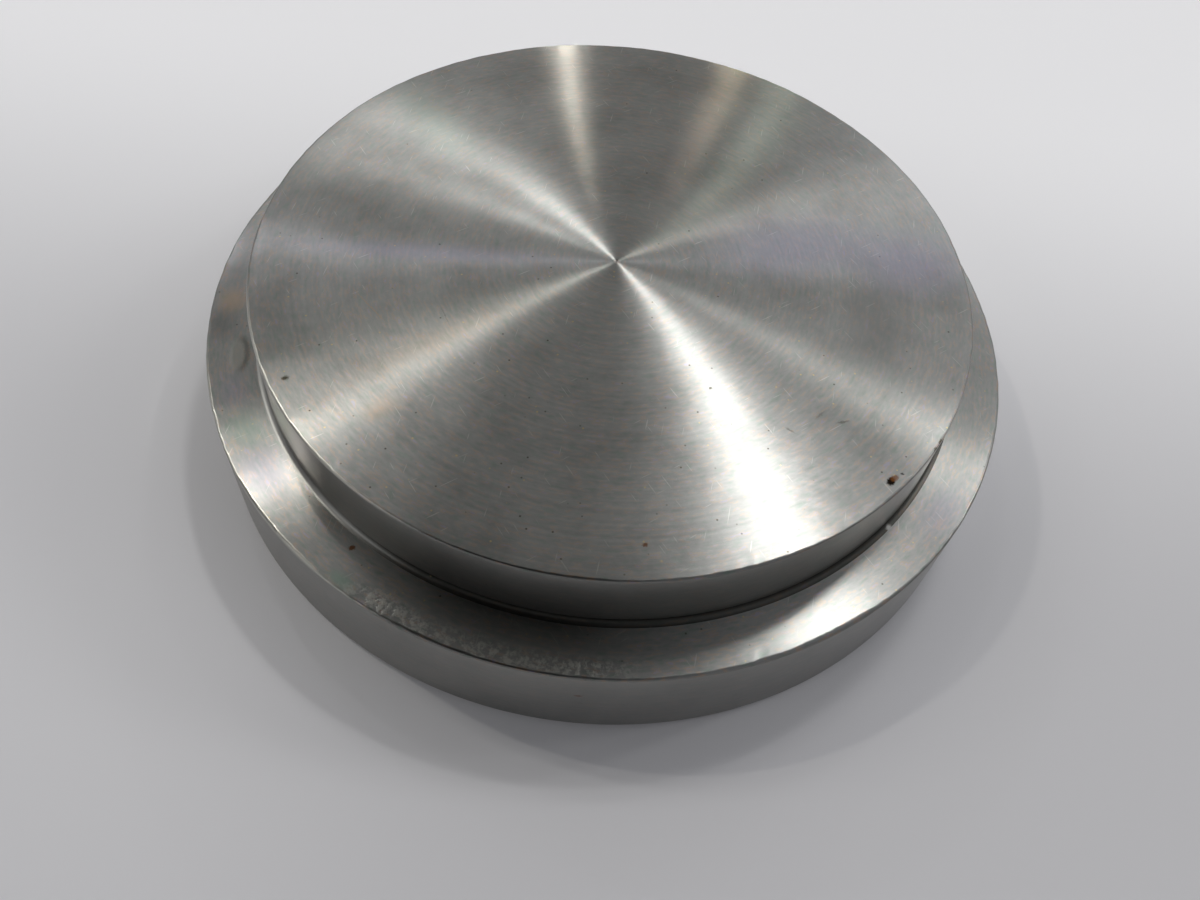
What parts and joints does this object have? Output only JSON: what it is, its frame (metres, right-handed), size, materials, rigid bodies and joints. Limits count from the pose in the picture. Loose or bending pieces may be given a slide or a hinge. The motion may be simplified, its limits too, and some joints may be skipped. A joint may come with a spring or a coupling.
{
  "type": "hydraulic flange plug",
  "caption": "Round solid steel blanking plug with a wide head, a raised neck and an O-ring groove in its sealing face, for closing a split-flange hydraulic port.",
  "frame": {"origin": "centre of the sealing face, which is the underside that the plug stands on", "axes": "+Z along the axis of turning, from the sealing face towards the end of the neck; the part is round, so X and Y are free"},
  "size_m": [0.0714, 0.0714, 0.016],
  "materials": {
    "turned_steel": "bare carbon steel, faced and turned on a lathe with fine concentric tool marks, a few rust specks and handling scratches"
  },
  "bodies": {
    "root": {"flange_plug": "turned_steel"}
  },
  "joints": []
}
